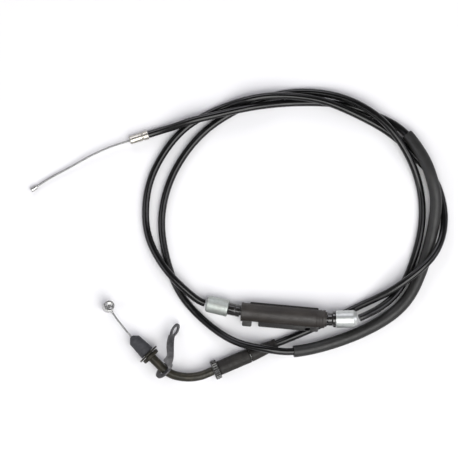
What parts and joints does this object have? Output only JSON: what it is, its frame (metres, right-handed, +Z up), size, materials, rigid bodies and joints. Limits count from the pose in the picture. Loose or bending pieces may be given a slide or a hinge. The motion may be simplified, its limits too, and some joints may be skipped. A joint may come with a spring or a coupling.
{
  "type": "scooter throttle cable",
  "caption": "Cased throttle cable with an inline junction box, a bent guide tube, a screw adjuster, a swivelling bracket and end nipples.",
  "frame": {"origin": "the middle of the fittings' footprint, on the surface that the assembly lies on", "axes": "+Z up from that surface; +X from the guide tube's side of the loop towards the junction box's carburettor end; +Y towards the carburettor end of the cable"},
  "size_m": [0.2929, 0.2053, 0.0192],
  "materials": {
    "casing": "satin black vinyl sheath",
    "sleeve": "matte charcoal vinyl",
    "rubber": "matte",
    "box": "matte moulded",
    "shuttle": "smooth moulded",
    "liner": "translucent white",
    "tube": "glossy olive-black plating",
    "bracket": "dark zinc plating",
    "wire": "stranded steel",
    "nickel": "nickel plating",
    "zinc": "bright zinc plating"
  },
  "bodies": {
    "cable": {"carb_casing": "casing", "abrasion_sleeve": "sleeve", "throttle_casing": "casing", "carb_ferrule": "nickel", "box_base": "box", "box_cover": "box", "box_neck_throttle": "box", "box_neck_carb": "box", "box_ferrule_throttle": "zinc", "box_ferrule_carb": "zinc", "elbow_tube": "tube", "elbow_liner": "liner", "end_boot": "rubber", "flange_washer": "tube", "tube_collar": "tube"},
    "throttle_inner": {"throttle_wire": "wire", "solder_collar": "zinc", "barrel_nipple": "zinc"},
    "carb_inner": {"carb_wire": "wire", "carb_nipple": "wire"},
    "shuttle": {"shuttle": "shuttle", "shuttle_nipple_throttle": "zinc", "shuttle_nipple_carb": "zinc", "shuttle_wire_throttle": "wire", "shuttle_wire_carb": "wire"},
    "adjuster_cover": {"adjuster_cover": "rubber", "adjuster_boot": "rubber", "casing_end_cap": "zinc"},
    "adjuster_screw": {"adjuster_barrel": "zinc", "adjuster_wheel": "box"},
    "bracket": {"bracket": "bracket"}
  },
  "joints": [
    {"name": "throttle_pull", "type": "slide", "parent": "cable", "child": "throttle_inner", "axis": [-0.7071, 0.7071, 0], "range_m": [0, 0.012]},
    {"name": "carb_pull", "type": "slide", "parent": "cable", "child": "carb_inner", "axis": [0.9521, 0.3057, 0], "range_m": [0, 0.012]},
    {"name": "shuttle_slide", "type": "slide", "parent": "cable", "child": "shuttle", "axis": [-0.9935, 0.0902, -0.0693], "range_m": [0, 0.012]},
    {"name": "adjuster_advance", "type": "slide", "parent": "cable", "child": "adjuster_cover", "axis": [0.9197, 0.3885, -0.0558], "range_m": [0, 0.005]},
    {"name": "adjuster_turn", "type": "hinge", "parent": "adjuster_cover", "child": "adjuster_screw", "pos_m": [-0.01015, -0.0796, 0.007], "axis": [0.9197, 0.3885, -0.0558], "range_deg": [0, 1800]},
    {"name": "bracket_swivel", "type": "hinge", "parent": "cable", "child": "bracket", "pos_m": [-0.04618, -0.07977, 0.00785], "axis": [0.7071, -0.7071, 0], "range_deg": [0, 170]}
  ],
  "couplings": [
    {"joint": "carb_pull", "follows": "throttle_pull", "ratio": 1},
    {"joint": "shuttle_slide", "follows": "throttle_pull", "ratio": 1},
    {"joint": "adjuster_advance", "follows": "adjuster_turn", "m_per_rad": 0.000159}
  ]
}
